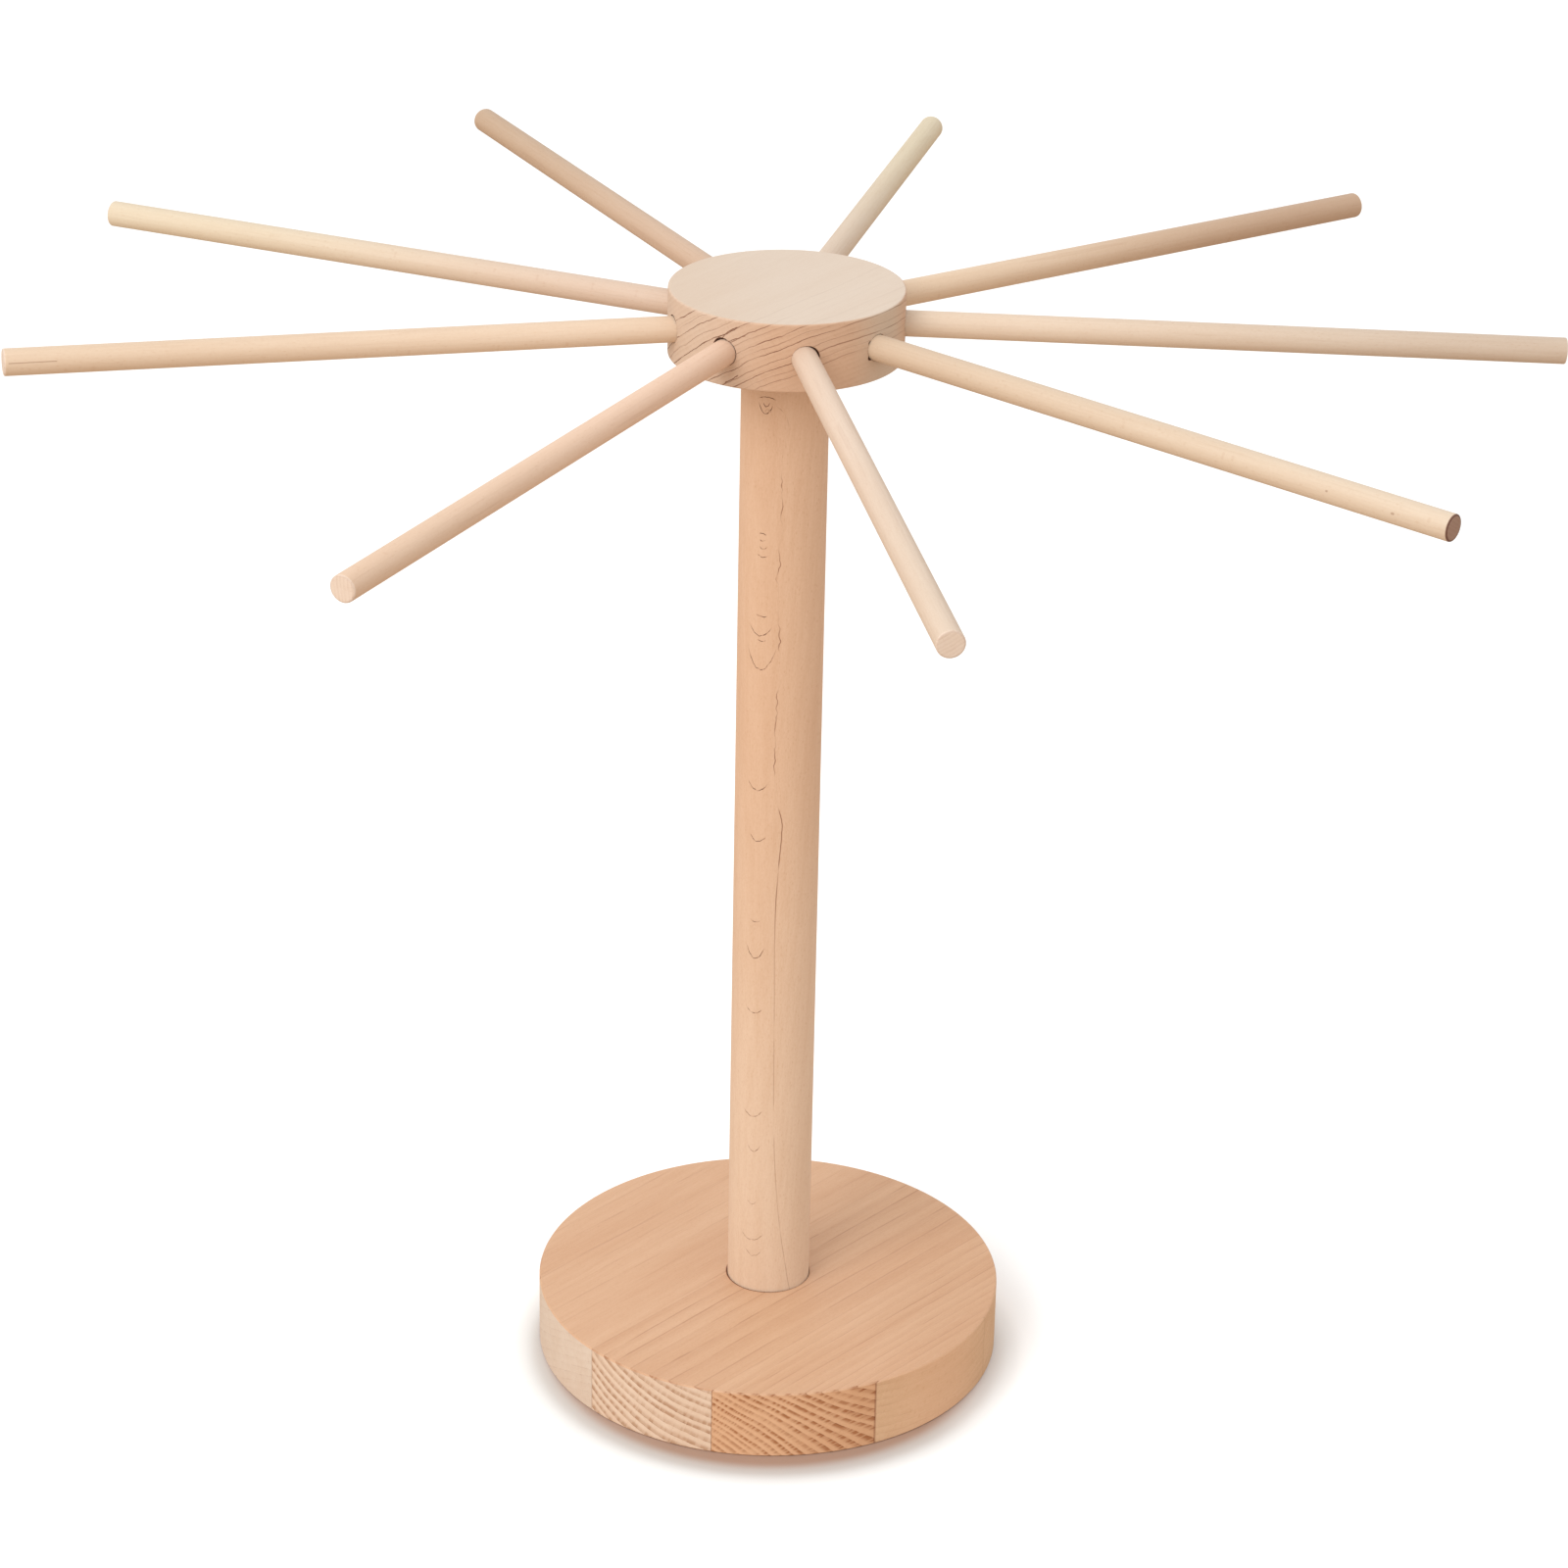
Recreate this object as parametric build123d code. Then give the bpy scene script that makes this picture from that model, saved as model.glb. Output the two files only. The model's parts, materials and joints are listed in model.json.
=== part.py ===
"""Table-top pasta drying rack in plain beech.

A heavy round base, glued up from staves, carries an upright post. A round hub
sits on a loose peg in the top of the post, and nine straight dowels push into
blind sockets drilled round the hub's rim. The sockets are a little too wide,
so each dowel leans its own way in them.

Units are millimetres. +Z is up, and the origin is the centre of the base's
underside. Dowel 1 points along -Y, and the others follow anticlockwise as
seen from above.
"""

from build123d import *
from math import atan2, degrees
import os

# Overall
rack_height = 434.0

# Base: a disc sawn from an edge-glued panel. The grain's heading is in degrees from +X, and
# the glue joints are shares of the base's radius, measured square to the grain from its centre.
base_diameter = 180.0
base_thickness = 27.5
base_edge_bevel = 0.5
grain_heading = 40.0
stave_joint_shares = (-0.680, -0.113, 0.474, 0.933)

# Post, and the blind hole in the base that it stands in
post_diameter = 32.0
post_edge_bevel = 0.4
base_floor = 11.0
post_gap = 0.3

# Hub
hub_diameter = 85.0
hub_thickness = 25.0
hub_edge_bevel = 0.4

# Dowels and their sockets in the hub's rim
dowel_count = 9
dowel_diameter = 9.5
dowel_length = 250.0
dowel_end_bevel = 0.4
socket_depth = 15.0
socket_gap = 0.45
socket_end_gap = 0.5
socket_mouth_bevel = 0.3

# How each dowel leans, as shares of the most that its socket lets it: sideways, anticlockwise
# as seen from above, and downwards
dowel_lean_shares = (
    (0.68, 0.62),
    (0.80, 0.45),
    (0.09, 0.29),
    (-0.50, 0.38),
    (-0.26, 0.55),
    (-0.67, 0.12),
    (-0.55, 0.00),
    (-0.67, -0.44),
    (0.73, 0.50),
)

# Fluted peg between the post and the hub
peg_diameter = 12.0
peg_depth_in_post = 20.0
peg_depth_in_hub = 16.0
peg_gap = 0.1
peg_top_gap = 0.6
peg_end_bevel = 1.2
flute_count = 12
flute_depth = 0.45
flute_width = 1.0

# Countersunk wood screw, driven up through the base into the post
screw_length = 60.0
screw_core_diameter = 4.0
screw_shank_diameter = 5.6
screw_shank_length = 14.0
screw_head_diameter = 11.6
screw_head_lip = 0.5
screw_head_sink = 0.6
screw_point_length = 7.0
screw_point_flat = 0.4
screw_gap = 0.1
recess_length = 6.0
recess_width = 1.15
recess_depth = 2.6

# How far a cutter runs past the face that it opens
overrun = 1.0

base_radius = base_diameter / 2
post_radius = post_diameter / 2
hub_radius = hub_diameter / 2
dowel_radius = dowel_diameter / 2
peg_radius = peg_diameter / 2

hub_bottom = rack_height - hub_thickness
dowel_height = hub_bottom + hub_thickness / 2
peg_bottom = hub_bottom - peg_depth_in_post
peg_length = peg_depth_in_post + peg_depth_in_hub - peg_top_gap

# A dowel turns about the middle of its socket until it meets the wall at mouth and floor.
socket_radius = dowel_radius + socket_gap
socket_floor = hub_radius - socket_depth
socket_middle = hub_radius - socket_depth / 2
dowel_start = socket_floor + socket_end_gap
full_lean = degrees(atan2(2 * socket_gap, socket_depth))

# The screw's cone lies at 45 degrees.
screw_core_radius = screw_core_diameter / 2
screw_shank_radius = screw_shank_diameter / 2
screw_head_radius = screw_head_diameter / 2
lip_top = screw_head_sink + screw_head_lip
cone_top = lip_top + screw_head_radius - screw_shank_radius
shank_top = cone_top + screw_shank_length
core_bottom = shank_top + screw_shank_radius - screw_core_radius
screw_tip = screw_head_sink + screw_length


def turned(*profile):
    """A piece turned about Z from its half outline, given as (radius, height) points."""
    with BuildPart() as piece:
        with BuildSketch(Plane.XZ):
            with BuildLine():
                Polyline(*profile, close=True)
            make_face()
        revolve(axis=Axis.Z)
    return piece.part


def rod(radius, length, bevel):
    """A round bar standing on Z = 0, with both ends bevelled."""
    return turned(
        (0, 0),
        (radius - bevel, 0),
        (radius, bevel),
        (radius, length - bevel),
        (radius - bevel, length),
        (0, length),
    )


def upright(radius, bottom, top):
    """A plain cylinder on Z between two heights, used as a blank or as a drill."""
    bar = Cylinder(radius, top - bottom, align=(Align.CENTER, Align.CENTER, Align.MIN))
    return Pos(0, 0, bottom) * bar


def disc(radius, bottom, top, bevel):
    """A flat round block with both rims eased."""
    block = upright(radius, bottom, top)
    rims = block.edges().filter_by(GeomType.CIRCLE)
    return chamfer(rims, bevel)


def base_disc():
    """The base in one piece: the post's hole from above, and from below the screw's
    clearance hole and countersink."""
    head = screw_head_radius + screw_gap
    shank = screw_shank_radius + screw_gap
    above_floor = base_floor + overrun
    screw_hole = turned(
        (0, -overrun),
        (head, -overrun),
        (head, lip_top),
        (shank, lip_top + head - shank),
        (shank, above_floor),
        (0, above_floor),
    )
    post_hole = upright(post_radius + post_gap, base_floor, base_thickness + overrun)
    return disc(base_radius, 0, base_thickness, base_edge_bevel) - post_hole - screw_hole


def base_staves():
    """The staves that the base is glued up from, the rear left one first."""
    board = base_disc()
    joints = [share * base_radius for share in stave_joint_shares]
    edges = [-base_diameter, *joints, base_diameter]
    staves = []
    for low, high in zip(edges, edges[1:]):
        strip = Box(
            base_diameter + overrun,
            high - low,
            base_thickness + overrun,
            align=(Align.CENTER, Align.MAX, Align.MIN),
        )
        staves.append(board & Rot(0, 0, grain_heading) * Pos(0, -low, 0) * strip)
    return staves


def base_screw():
    """The screw, head down, with a cross recess for the driver."""
    body = turned(
        (0, screw_head_sink),
        (screw_head_radius, screw_head_sink),
        (screw_head_radius, lip_top),
        (screw_shank_radius, cone_top),
        (screw_shank_radius, shank_top),
        (screw_core_radius, core_bottom),
        (screw_core_radius, screw_tip - screw_point_length),
        (screw_point_flat, screw_tip),
        (0, screw_tip),
    )
    slot = Box(
        recess_length,
        recess_width,
        recess_depth + overrun,
        align=(Align.CENTER, Align.CENTER, Align.MIN),
    )
    slot = Pos(0, 0, screw_head_sink - overrun) * slot
    return body - slot - Rot(0, 0, 90) * slot


def post():
    """The upright, with the screw's pilot hole in its foot and the peg's bore in its top."""
    bar = Pos(0, 0, base_floor) * rod(post_radius, hub_bottom - base_floor, post_edge_bevel)
    shank = screw_shank_radius + screw_gap
    core = screw_core_radius + screw_gap
    pilot = turned(
        (0, base_floor - overrun),
        (shank, base_floor - overrun),
        (shank, shank_top),
        (core, core_bottom),
        (core, screw_tip),
        (0, screw_tip + core),
    )
    return bar - pilot - upright(peg_radius + peg_gap, peg_bottom, hub_bottom + overrun)


def hub_peg():
    """The peg, with straight flutes milled down its side."""
    peg = Pos(0, 0, peg_bottom) * rod(peg_radius, peg_length, peg_end_bevel)
    cutter = Box(
        flute_depth + overrun,
        flute_width,
        peg_length + overrun + overrun,
        align=(Align.MIN, Align.CENTER, Align.MIN),
    )
    cutter = Pos(peg_radius - flute_depth, 0, peg_bottom - overrun) * cutter
    for place in range(flute_count):
        peg -= Rot(0, 0, 360 / flute_count * place) * cutter
    return peg


def along_spoke(number, shape):
    """Lays a shape that stands on Z along one dowel's line, its Z = 0 on the rack's axis."""
    heading = 360 / dowel_count * (number - 1) - 90
    return Pos(0, 0, dowel_height) * Rot(0, 0, heading) * Rot(0, 90, 0) * shape


def hub():
    """The hub: a thick disc with a bore for the peg from below and a ring of blind
    sockets drilled in from its rim, their mouths lightly broken."""
    block = disc(hub_radius, hub_bottom, rack_height, hub_edge_bevel)
    block -= upright(peg_radius + peg_gap, hub_bottom - overrun, hub_bottom + peg_depth_in_hub)
    past_rim = hub_radius + overrun
    drill = turned(
        (0, socket_floor),
        (socket_radius, socket_floor),
        (socket_radius, hub_radius - socket_mouth_bevel),
        (socket_radius + socket_mouth_bevel + overrun, past_rim),
        (0, past_rim),
    )
    for number in range(1, dowel_count + 1):
        block -= along_spoke(number, drill)
    return block


def dowel(number):
    """One dowel, pushed home in its socket and leaning there."""
    sideways, down = dowel_lean_shares[(number - 1) % len(dowel_lean_shares)]
    lean = Rot(-sideways * full_lean, down * full_lean, 0)
    bar = rod(dowel_radius, dowel_length, dowel_end_bevel)
    bar = lean * Pos(0, 0, dowel_start - socket_middle) * bar
    return along_spoke(number, Pos(0, 0, socket_middle) * bar)


def pieces():
    """Every piece of the rack by name, from the table up."""
    made = {f"base_stave_{n}": stave for n, stave in enumerate(base_staves(), start=1)}
    made["base_screw"] = base_screw()
    made["post"] = post()
    made["hub_peg"] = hub_peg()
    made["hub"] = hub()
    for number in range(1, dowel_count + 1):
        made[f"dowel_{number}"] = dowel(number)
    return made


os.makedirs("parts", exist_ok=True)
for name, piece in pieces().items():
    export_step(piece, f"parts/{name}.step")
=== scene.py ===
"""Table-top pasta drying rack in plain beech: the finish of every piece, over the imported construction.

Metres, +Z up, origin at the centre of the base's underside. The sections follow the rack as it is put
together, from the table up, and then come the floor, the light and the camera.
"""

import json

import bmesh
import bpy
import numpy as np
from mathutils import Matrix, Vector


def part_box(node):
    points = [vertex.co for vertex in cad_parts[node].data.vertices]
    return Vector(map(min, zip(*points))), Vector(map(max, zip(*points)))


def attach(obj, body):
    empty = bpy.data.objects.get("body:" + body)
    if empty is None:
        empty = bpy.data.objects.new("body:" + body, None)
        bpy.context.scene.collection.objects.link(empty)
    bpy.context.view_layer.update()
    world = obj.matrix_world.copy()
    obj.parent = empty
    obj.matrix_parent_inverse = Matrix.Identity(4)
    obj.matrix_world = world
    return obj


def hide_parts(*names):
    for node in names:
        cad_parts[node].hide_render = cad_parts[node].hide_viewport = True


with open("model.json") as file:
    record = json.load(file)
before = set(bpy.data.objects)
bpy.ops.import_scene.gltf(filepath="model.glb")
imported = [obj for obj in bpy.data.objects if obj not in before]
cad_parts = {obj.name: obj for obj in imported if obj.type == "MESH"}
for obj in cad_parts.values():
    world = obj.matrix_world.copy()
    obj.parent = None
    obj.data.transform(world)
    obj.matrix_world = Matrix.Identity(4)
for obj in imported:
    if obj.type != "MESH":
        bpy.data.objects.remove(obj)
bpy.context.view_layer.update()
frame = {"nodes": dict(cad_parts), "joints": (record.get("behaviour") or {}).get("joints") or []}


# Base staves: five beech boards glued edge to edge, then sawn to a disc, drilled and sanded. Each board
# was cut from another part of its log, so along the rim every stave shows a different end grain, while
# the sanded top looks like one board. The glue joints are fine dark lines.

mm = 0.001


def add_node(tree, kind, wires=(), **settings):
    """Adds a shader node with its settings. A wire is an input's name or place, and its value or source."""
    made = tree.nodes.new("ShaderNode" + kind)
    for name, value in settings.items():
        setattr(made, name, value)
    for place, value in dict(wires).items():
        if isinstance(value, bpy.types.NodeSocket):
            tree.links.new(value, made.inputs[place])
        else:
            made.inputs[place].default_value = value
    return made


def calc(tree, operation, *terms):
    """The result of one Math node."""
    return add_node(tree, "Math", enumerate(terms), operation=operation).outputs[0]


def product(tree, first, *others):
    """All the terms multiplied."""
    for term in others:
        first = calc(tree, "MULTIPLY", first, term)
    return first


def vector_calc(tree, operation, *terms):
    """The result of one Vector Math node, which is a number for a length, a distance or a dot product."""
    made = add_node(tree, "VectorMath", enumerate(terms), operation=operation)
    return made.outputs["Value" if operation in ("LENGTH", "DISTANCE", "DOT_PRODUCT") else "Vector"]


def axes_of(tree, vector):
    """The X, Y and Z of a vector."""
    return add_node(tree, "SeparateXYZ", {0: vector}).outputs


def own_point(tree):
    """The point in the object's own coordinates."""
    return add_node(tree, "TexCoord").outputs["Object"]


def ramp(tree, value, low, high, start=0.0, end=1.0):
    """A smooth step: start where the value is under low, end where it is over high."""
    wires = {"Value": value, "From Min": low, "From Max": high, "To Min": start, "To Max": end}
    return add_node(tree, "MapRange", wires, interpolation_type="SMOOTHSTEP").outputs["Result"]


def noise(tree, point, counts, detail=1.0):
    """Noise about 0.5, with so many waves per metre along, across and through the grain."""
    wires = {"Vector": vector_calc(tree, "MULTIPLY", point, counts), "Scale": 1.0, "Detail": detail}
    return add_node(tree, "TexNoise", wires).outputs["Fac"]


def mixed(tree, share, first, second, blend="MIX"):
    """The first colour where the share is 0 and the second, or its blend with the first, where it is 1."""
    wires = {"Factor": share, 6: first, 7: second}
    return add_node(tree, "Mix", wires, data_type="RGBA", blend_type=blend).outputs[2]


def new_group(name, inputs, outputs):
    """A shader node group with the named sockets, and its inner input and output nodes."""
    tree = bpy.data.node_groups.new(name, "ShaderNodeTree")
    for direction, sockets in (("INPUT", inputs), ("OUTPUT", outputs)):
        for label, kind in sockets.items():
            tree.interface.new_socket(label, in_out=direction, socket_type="NodeSocket" + kind)
    return tree, tree.nodes.new("NodeGroupInput").outputs, tree.nodes.new("NodeGroupOutput").inputs


def group_node(tree, group, wires):
    """The outputs of a node group placed in the tree."""
    return add_node(tree, "Group", wires, node_tree=group).outputs


def round_pith():
    """Distance from a pith that lies along X, and the turn round it, in radians."""
    tree, given, result = new_group(
        "round the pith", {"Point": "Vector"}, {"Distance": "Float", "Turn": "Float"}
    )
    flat = vector_calc(tree, "MULTIPLY", given["Point"], (0.0, 1.0, 1.0))
    axes = axes_of(tree, flat)
    tree.links.new(vector_calc(tree, "LENGTH", flat), result["Distance"])
    tree.links.new(calc(tree, "ARCTAN2", axes["Z"], axes["Y"]), result["Turn"])
    return tree


def growth_rings():
    """Growth rings round the pith. A ring's place is the distance from the pith, bent by slow noise, over
    the rings' spacing. Its fraction darkens through the year and ends in a line."""
    numbers = dict.fromkeys(("First Ring", "Spacing", "Wobble", "Line Share"), "Float")
    tree, given, result = new_group(
        "growth rings", {"Point": "Vector", **numbers}, {"Summer Wood": "Float", "Ring Line": "Float"}
    )
    distance = group_node(tree, round_pith_group, {"Point": given["Point"]})["Distance"]
    slow = calc(tree, "SUBTRACT", noise(tree, given["Point"], (6, 60, 60)), 0.5)
    quick = calc(tree, "SUBTRACT", noise(tree, given["Point"], (45, 500, 500)), 0.5)
    bend = calc(tree, "MULTIPLY_ADD", quick, 0.2, slow)
    place = calc(tree, "MULTIPLY_ADD", bend, given["Wobble"], distance)
    years = calc(tree, "DIVIDE", calc(tree, "SUBTRACT", place, given["First Ring"]), given["Spacing"])
    uneven = add_node(tree, "TexNoise", {"W": years, "Scale": 0.37}, noise_dimensions="1D").outputs["Fac"]
    years = calc(tree, "MULTIPLY_ADD", calc(tree, "SUBTRACT", uneven, 0.5), 0.6, years)
    part = calc(tree, "FRACT", years)
    year = add_node(tree, "TexWhiteNoise", {"W": calc(tree, "FLOOR", years)}, noise_dimensions="1D")
    strength = ramp(tree, year.outputs["Value"], 0.0, 0.8, 0.62, 1.0)
    summer = calc(tree, "MULTIPLY", ramp(tree, part, 0.3, 0.75), ramp(tree, part, 0.93, 1.0, 1.0, 0.0))
    tree.links.new(product(tree, summer, strength), result["Summer Wood"])
    line_start = calc(tree, "SUBTRACT", 0.97, given["Line Share"])
    rise = add_node(tree, "MapRange", {"Value": part, "From Min": line_start, "From Max": 0.96})
    end = ramp(tree, part, 0.965, 0.995, 1.0, 0.0)
    broken = ramp(tree, noise(tree, given["Point"], (40, 300, 300), 2.0), 0.42, 0.58, 0.1, 1.0)
    tree.links.new(product(tree, rise.outputs[0], end, broken, strength), result["Ring Line"])
    return tree


def ray_flecks():
    """Ray flecks: thin ribbons that run from the pith outwards. They are cells stretched a little along
    the grain, far outwards from the pith, and hardly at all round it, and only each cell's core counts.
    Bands are where many rays run together."""
    tree, given, result = new_group(
        "ray flecks", {"Point": "Vector", "Pith Distance": "Float"}, {"Rays": "Float", "Bands": "Float"}
    )
    polar = group_node(tree, round_pith_group, {"Point": given["Point"]})
    turn = calc(tree, "MULTIPLY", polar["Turn"], given["Pith Distance"])
    wires = {"X": axes_of(tree, given["Point"])["X"], "Y": turn, "Z": polar["Distance"]}
    place = add_node(tree, "CombineXYZ", wires).outputs[0]
    flecks = []
    for counts, core, edge in (((330, 1700, 70), 0.1, 0.26), ((150, 700, 35), 0.02, 0.16)):
        scaled = vector_calc(tree, "MULTIPLY", place, counts)
        cells = add_node(tree, "TexVoronoi", {"Vector": scaled, "Scale": 1.0}).outputs["Distance"]
        flecks.append(ramp(tree, cells, core, edge, 1.0, 0.0))
    tree.links.new(calc(tree, "MAXIMUM", *flecks), result["Rays"])
    tree.links.new(ramp(tree, noise(tree, place, (80, 760, 60)), 0.44, 0.58), result["Bands"])
    return tree


def beech_figure():
    """Beech from its point and normal in the grain's frame: rings, rays, fibres and slow clouds of tone,
    multiplied as tints over a colour that changes from the long grain's to the end grain's. Rings are
    strong on end grain and faint elsewhere, and rays break them into dots. A mark is a dark line."""
    numbers = (
        "First Ring",
        "Ring Spacing",
        "Ring Wobble",
        "Line Share",
        "Pith Distance",
        "Summer Strength",
        "Line Strength",
        "Face Share",
        "Ray Strength",
        "Ray Breaks",
        "Fibre Strength",
        "Cloud Strength",
        "Mark",
    )
    colours = {"Face Colour": "Color", "End Colour": "Color"}
    tree, given, result = new_group(
        "beech figure",
        {"Point": "Vector", "Normal": "Vector", **colours, **dict.fromkeys(numbers, "Float")},
        {"Color": "Color", "Roughness": "Float", "Height": "Float"},
    )
    along = calc(tree, "ABSOLUTE", axes_of(tree, given["Normal"])["X"])
    end = ramp(tree, along, 0.05, 0.45)
    shown = ramp(tree, along, 0.05, 0.4, given["Face Share"])
    wires = {
        "Point": given["Point"],
        "First Ring": given["First Ring"],
        "Spacing": given["Ring Spacing"],
        "Wobble": given["Ring Wobble"],
        "Line Share": given["Line Share"],
    }
    rings = group_node(tree, growth_ring_group, wires)
    wires = {"Point": given["Point"], "Pith Distance": given["Pith Distance"]}
    rays = group_node(tree, ray_fleck_group, wires)
    clouds = ramp(tree, noise(tree, given["Point"], (7, 55, 55), 2.0), 0.32, 0.68)
    fibres = ramp(tree, noise(tree, given["Point"], (120, 2600, 2600), 2.0), 0.3, 0.75)
    streaks = ramp(tree, noise(tree, given["Point"], (14, 420, 420), 2.0), 0.35, 0.7)
    speckle = ramp(tree, noise(tree, given["Point"], (900, 1600, 1600), 2.0), 0.35, 0.7)
    dots = calc(tree, "SUBTRACT", 1.0, product(tree, rays["Bands"], end, given["Ray Breaks"]))
    cubed = calc(tree, "POWER", shown, 3.0)
    summer = product(tree, rings["Summer Wood"], given["Summer Strength"], dots, cubed)
    line = product(tree, rings["Ring Line"], given["Line Strength"], dots, shown)
    fleck = product(tree, rays["Rays"], given["Ray Strength"])
    colour = mixed(tree, end, given["Face Colour"], given["End Colour"])
    for share, tint in (
        (calc(tree, "MULTIPLY", clouds, given["Cloud Strength"]), cloud_tint),
        (calc(tree, "MULTIPLY", fibres, given["Fibre Strength"]), fibre_tint),
        (calc(tree, "MULTIPLY", streaks, given["Fibre Strength"]), fibre_tint),
        (calc(tree, "MULTIPLY", speckle, given["Fibre Strength"]), fibre_tint),
        (summer, summer_tint),
        (fleck, fleck_tint),
        (line, line_tint),
        (given["Mark"], mark_tint),
        (ramp(tree, given["Mark"], 0.88, 1.0), deep_mark_and_shade_tint),
    ):
        colour = mixed(tree, share, colour, tint, "MULTIPLY")
    tree.links.new(colour, result["Color"])
    rough = calc(tree, "MULTIPLY_ADD", fibres, 0.12, 0.5)
    tree.links.new(calc(tree, "MULTIPLY_ADD", rays["Rays"], -0.1, rough), result["Roughness"])
    height = calc(tree, "MULTIPLY_ADD", line, -0.6, calc(tree, "MULTIPLY", fibres, -0.25))
    height = calc(tree, "MULTIPLY_ADD", fleck, 0.2, height)
    tree.links.new(calc(tree, "MULTIPLY_ADD", given["Mark"], -2.0, height), result["Height"])
    return tree


def grain_points(tree, pith, turn):
    """The object's own point and normal, seen from the pith, with the grain along X."""
    own = add_node(tree, "TexCoord").outputs
    wires = {"Vector": own["Object"], "Location": pith, "Rotation": turn}
    point = add_node(tree, "Mapping", wires, vector_type="TEXTURE").outputs[0]
    wires = {"Vector": own["Normal"], "Rotation": turn}
    return point, add_node(tree, "Mapping", wires, vector_type="TEXTURE").outputs[0]


def beech(name, pith, turn, values, drawn=None):
    """A beech material: its pith's place, its grain's turn and the figure's values. Drawn is a function
    that makes more of the figure's inputs from the tree, the grain's point and its normal."""
    material = bpy.data.materials.new(name)
    material.use_nodes = True
    tree = material.node_tree
    shader = tree.nodes["Principled BSDF"]
    shader.inputs["Specular IOR Level"].default_value = wood_gloss
    point, normal = grain_points(tree, pith, turn)
    wires = {**values, "Point": point, "Normal": normal}
    if drawn:
        wires.update(drawn(tree, point, normal))
    figure = group_node(tree, beech_group, wires)
    tree.links.new(figure["Color"], shader.inputs["Base Color"])
    tree.links.new(figure["Roughness"], shader.inputs["Roughness"])
    relief = add_node(tree, "Bump", {"Height": figure["Height"], "Distance": grain_relief})
    tree.links.new(relief.outputs["Normal"], shader.inputs["Normal"])
    return material


# Colours are linear. The tints are what rings, rays, fibres and clouds multiply the wood's colour by.
cloud_tint = (0.93, 0.88, 0.84, 1.0)
fibre_tint = (0.95, 0.92, 0.89, 1.0)
summer_tint = (0.52, 0.34, 0.22, 1.0)
fleck_tint = (0.80, 0.66, 0.55, 1.0)
line_tint = (0.46, 0.28, 0.18, 1.0)
mark_tint = (0.30, 0.13, 0.07, 1.0)
# The deepest marks are darkened again by this tint: partly painted shadow, chiefly at the sockets' mouths.
deep_mark_and_shade_tint = (0.35, 0.33, 0.32, 1.0)
wood_gloss = 0.3
grain_relief = 0.06 * mm

round_pith_group = round_pith()
growth_ring_group = growth_rings()
ray_fleck_group = ray_flecks()
beech_group = beech_figure()


def corners_of(node):
    """All of a CAD node's vertices, one a row."""
    return np.array([corner.co for corner in frame["nodes"][node].data.vertices])


stave_heading = np.radians(40.0)
across_staves = Vector((np.sin(stave_heading), -np.cos(stave_heading), 0.0))
stave_figures = {
    "base_stave_1": dict(
        pith=(-20, 190),
        first=150,
        spacing=3.0,
        summer=0.24,
        face=0.4,
        breaks=0.5,
        ends=((0.675, 0.55, 0.425),) * 2,
    ),
    "base_stave_2": dict(
        pith=(40, -150),
        first=150,
        spacing=3.2,
        summer=0.05,
        face=0.6,
        breaks=0.5,
        ends=((0.68, 0.564, 0.463),) * 2,
    ),
    "base_stave_3": dict(
        pith=(77, 152.7),
        first=135.2,
        spacing=3.55,
        summer=0.74,
        face=0.5,
        breaks=0.42,
        ends=((0.735, 0.575, 0.445), (0.737, 0.555, 0.42)),
    ),
    "base_stave_4": dict(
        pith=(12, -38),
        first=60.0,
        spacing=2.5,
        summer=0.95,
        face=0.42,
        breaks=0.62,
        ends=((0.68, 0.415, 0.248), (0.607, 0.335, 0.18)),
        plain_right=0.9,
    ),
    "base_stave_5": dict(
        pith=(140, 200),
        first=180,
        spacing=3.0,
        summer=0.12,
        face=0.3,
        breaks=0.5,
        ends=((0.65, 0.436, 0.27),) * 2,
    ),
}
stave_top_colour = (0.615, 0.383, 0.24, 1.0)
stave_right_colour = (0.578, 0.352, 0.214, 1.0)
# Partly painted light: the rim's long grain, like each stave's ends, is set paler than the top, so that the
# upright rim shows as bright as the top-lit face; the rest is the rim's own paler tone.
stave_rim_lit_colour = (0.716, 0.465, 0.296, 1.0)
plain_end_colour = (0.65, 0.436, 0.27, 1.0)
stave_values = {
    "Ring Wobble": 1.6 * mm,
    "Line Share": 0.09,
    "Pith Distance": 120 * mm,
    "Ray Strength": 0.25,
    "Fibre Strength": 0.5,
    "Cloud Strength": 0.7,
}
glue_line = 0.22 * mm
hole_gap = 0.3 * mm
hole_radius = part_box("post")[1].x + hole_gap
ends_across = sorted(float((corners_of(name) @ np.array(across_staves)).max()) for name in stave_figures)
stave_joints = ends_across[:-1]


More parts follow.
